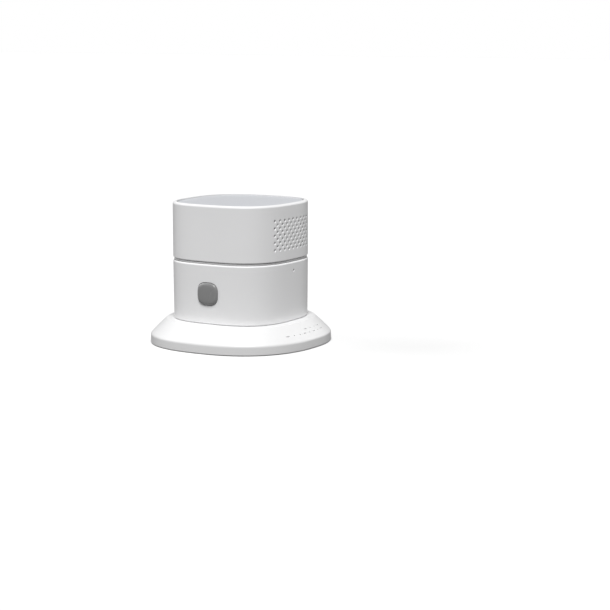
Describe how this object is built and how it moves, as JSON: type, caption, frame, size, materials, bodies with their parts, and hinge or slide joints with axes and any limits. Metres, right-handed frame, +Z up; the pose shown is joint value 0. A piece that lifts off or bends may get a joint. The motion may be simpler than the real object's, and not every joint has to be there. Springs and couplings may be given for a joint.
{
  "type": "smart smoke alarm",
  "caption": "Compact battery smoke alarm: rounded-square head with siren grille, vent groove and test button, twist-locked into a flared mounting base.",
  "frame": {"origin": "middle of the underside of the mounting base", "axes": "+Z up through the head, -Y out of the face with the test button, +X out of the face with the siren grille"},
  "size_m": [0.06, 0.06, 0.0494],
  "materials": {
    "white_plastic": "satin injection-moulded ABS",
    "grey_plastic": "translucent grey satin",
    "collar_plastic": "matt moulded",
    "black_plastic": "matt, light-trapping",
    "screen_mesh": "fine etched mesh",
    "lens_dark": "clear epoxy, tinted",
    "board_green": "solder mask",
    "shield_tin": "tinned",
    "chip_black": "moulded epoxy",
    "can_sleeve": "heat-shrunk sleeve",
    "brass_sheet": "rolled sheet",
    "ceramic": "fired, silvered",
    "foam": "closed-cell foam",
    "wire_red": "PVC sleeve",
    "wire_black": "PVC sleeve",
    "cell_wrap": "shrink wrap",
    "nickel": "nickel plated",
    "screw_steel": "zinc plated",
    "lamp": "clear lens",
    "light_guide": "polished acrylic",
    "pad_foam": "foam tape",
    "plunger_plastic": "acetal"
  },
  "bodies": {
    "base": {"mounting_base": "white_plastic", "adhesive_pad": "pad_foam"},
    "head": {"lower_shell": "white_plastic", "battery_door": "white_plastic", "upper_shell": "white_plastic", "top_cap": "white_plastic", "vent_collar": "collar_plastic", "chamber_base": "black_plastic", "chamber_cover": "black_plastic", "insect_screen": "screen_mesh", "infrared_led": "lens_dark", "photodiode": "lens_dark", "main_board": "board_green", "radio_module": "shield_tin", "microcontroller": "chip_black", "boost_inductor": "chip_black", "bulk_capacitor": "can_sleeve", "antenna_strip": "brass_sheet", "status_led": "lamp", "light_pipe": "light_guide", "board_screw_1": "screw_steel", "board_screw_2": "screw_steel", "case_screw_1": "screw_steel", "case_screw_2": "screw_steel", "case_screw_3": "screw_steel", "case_screw_4": "screw_steel", "siren_base": "black_plastic", "siren_housing": "black_plastic", "piezo_plate": "brass_sheet", "piezo_ceramic": "ceramic", "siren_gasket": "foam", "siren_lead_1": "wire_black", "siren_lead_2": "wire_red", "battery_cell": "cell_wrap", "battery_cradle": "black_plastic", "positive_contact": "nickel", "negative_contact": "nickel", "contact_spring": "nickel", "tact_switch": "chip_black"},
    "test_button": {"button_cap": "grey_plastic", "switch_plunger": "plunger_plastic"}
  },
  "joints": [
    {"name": "head_twist", "type": "hinge", "parent": "base", "child": "head", "pos_m": [0, 0, 0.009], "axis": [0, 0, 1], "range_deg": [0, 18]},
    {"name": "button_press", "type": "slide", "parent": "head", "child": "test_button", "axis": [0, 1, 0], "range_m": [0, 0.0006], "stiffness_N_per_m": 2000}
  ]
}
